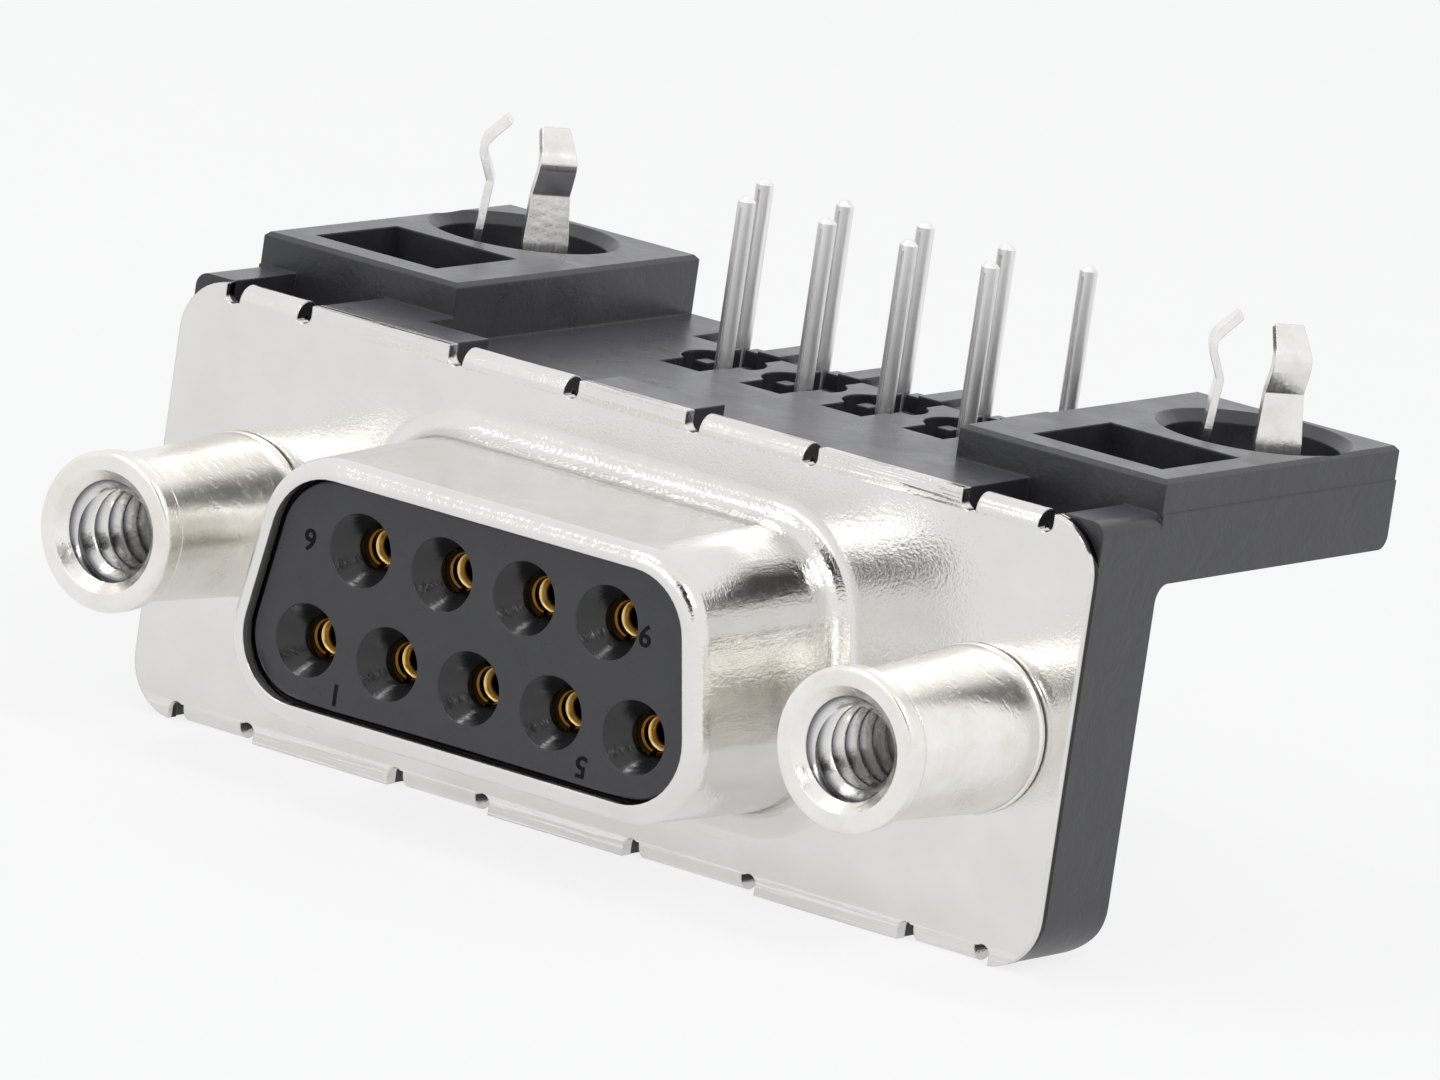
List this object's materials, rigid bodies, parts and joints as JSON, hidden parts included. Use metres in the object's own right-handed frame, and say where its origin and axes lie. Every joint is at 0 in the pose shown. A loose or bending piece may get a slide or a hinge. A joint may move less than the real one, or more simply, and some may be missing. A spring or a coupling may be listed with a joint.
{
  "type": "d-sub connector",
  "caption": "Right-angle D-sub receptacle for a printed board, with plated shell, threaded standoffs, moulded bracket and sprung board locks.",
  "frame": {"origin": "centre of the D collar on the front plane of the flange", "axes": "+X along the flange, -Y towards the mating plug, +Z towards the printed board"},
  "size_m": [0.0308, 0.0211, 0.0167],
  "materials": {
    "plated_steel": "tin plated drawn steel sheet, satin",
    "black_plastic": "moulded black glass-filled plastic, matte",
    "gold_contact": "gold plated sleeve with a bright tinned tail",
    "turned_metal": "turned and nickel plated",
    "spring_metal": "stamped spring strip, bright tin plate"
  },
  "bodies": {
    "root": {"front_shell": "plated_steel", "front_insulator": "black_plastic", "bracket_housing": "black_plastic", "contact_1": "gold_contact", "contact_2": "gold_contact", "contact_3": "gold_contact", "contact_4": "gold_contact", "contact_5": "gold_contact", "contact_6": "gold_contact", "contact_7": "gold_contact", "contact_8": "gold_contact", "contact_9": "gold_contact", "standoff_left": "turned_metal", "standoff_right": "turned_metal", "boardlock_left": "spring_metal", "boardlock_right": "spring_metal"}
  },
  "joints": []
}
